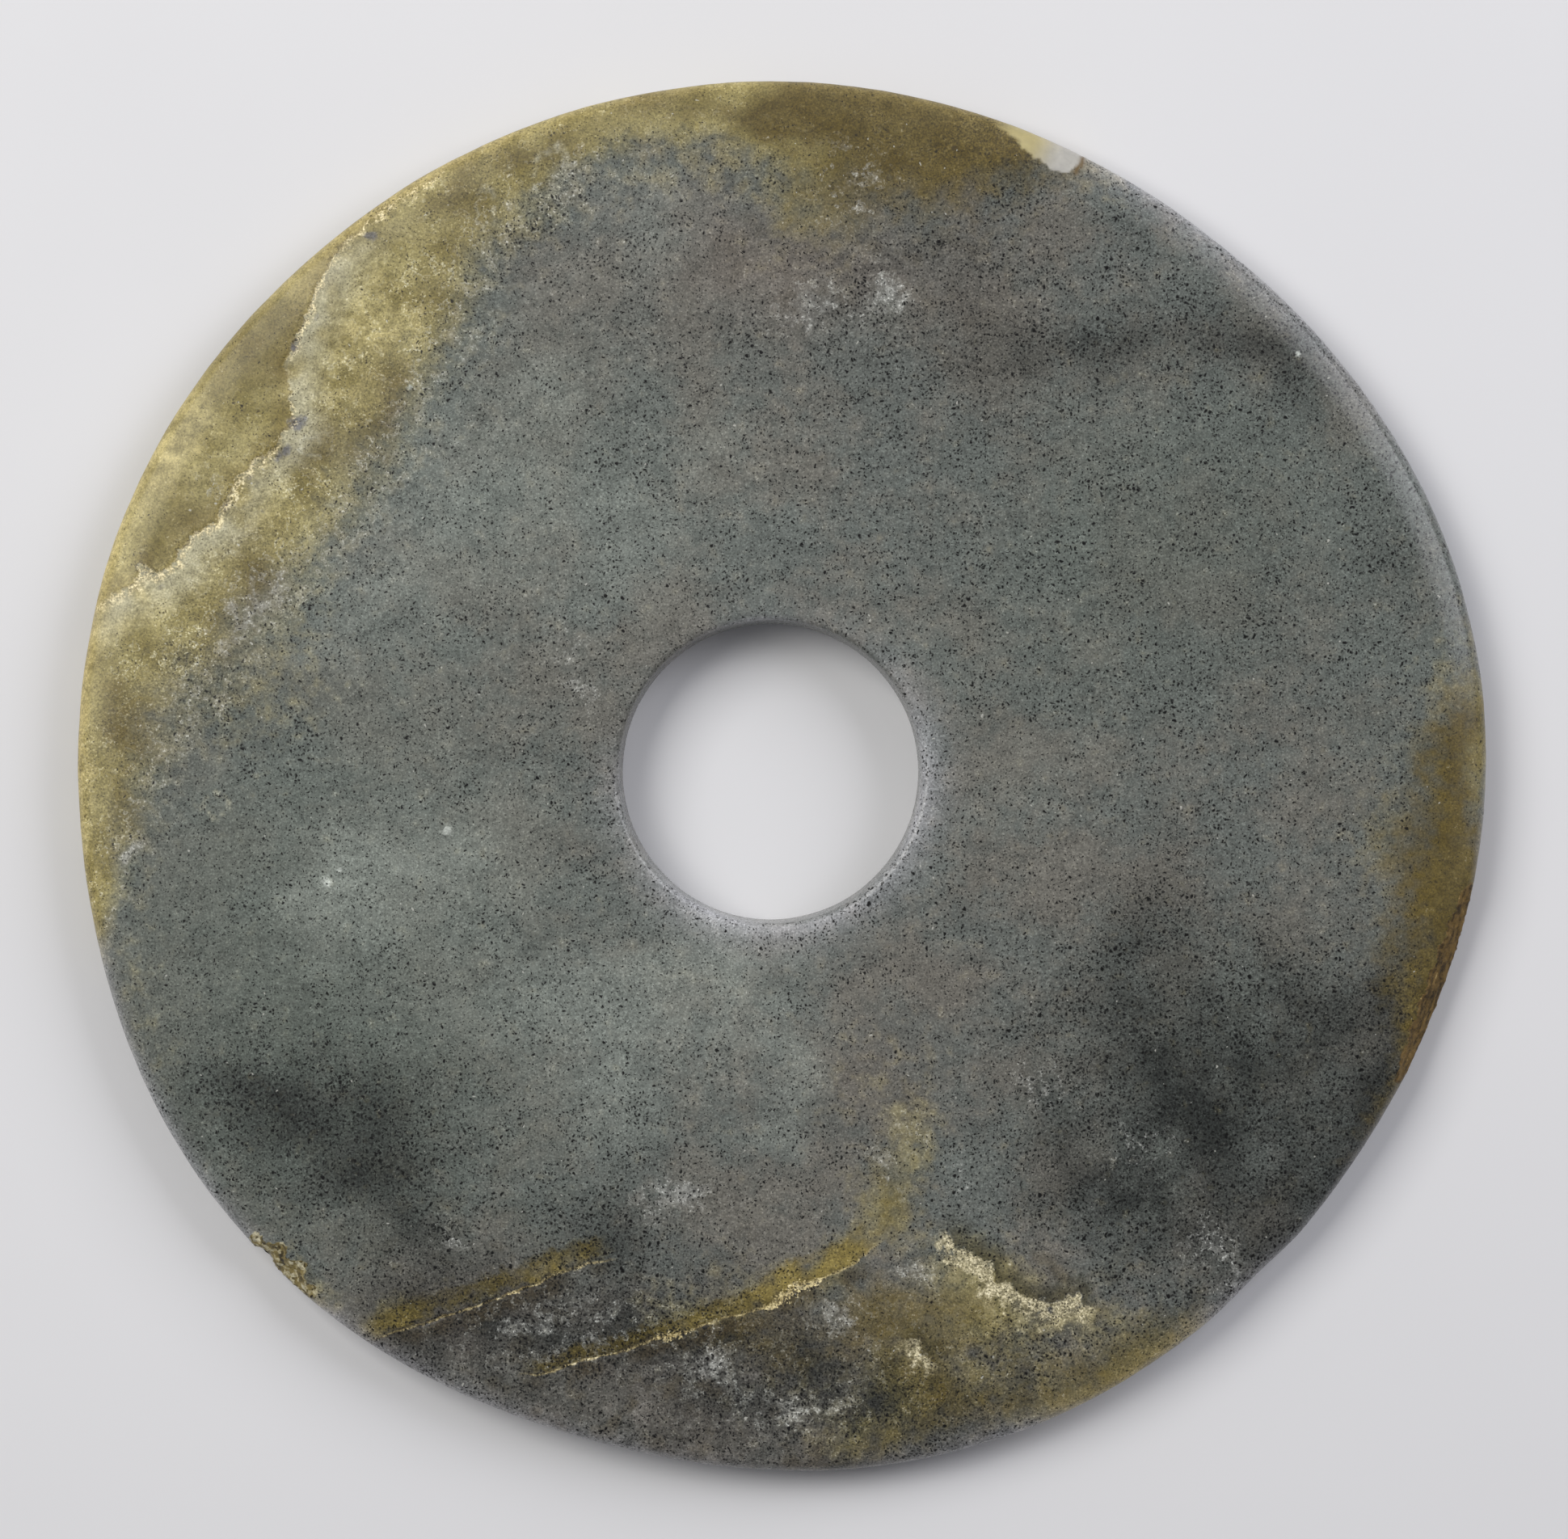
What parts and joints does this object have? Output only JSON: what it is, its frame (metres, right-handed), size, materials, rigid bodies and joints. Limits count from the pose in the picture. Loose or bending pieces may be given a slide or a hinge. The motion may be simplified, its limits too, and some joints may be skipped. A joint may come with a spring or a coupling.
{
  "type": "jade bi disc",
  "caption": "Flat round jade ring disc with a small central hole, a slightly uneven rim and softly ground edges, lying on its underside.",
  "frame": {"origin": "middle of the underside, at the centre of the disc's outline", "axes": "+Z out of the better face, +Y towards the top of the disc as it is shown, +X to its right"},
  "size_m": [0.24, 0.237, 0.012],
  "materials": {
    "jade": "polished grey-green nephrite with black specks, olive and cream altered areas and soft gloss"
  },
  "bodies": {
    "root": {"disc": "jade"}
  },
  "joints": []
}
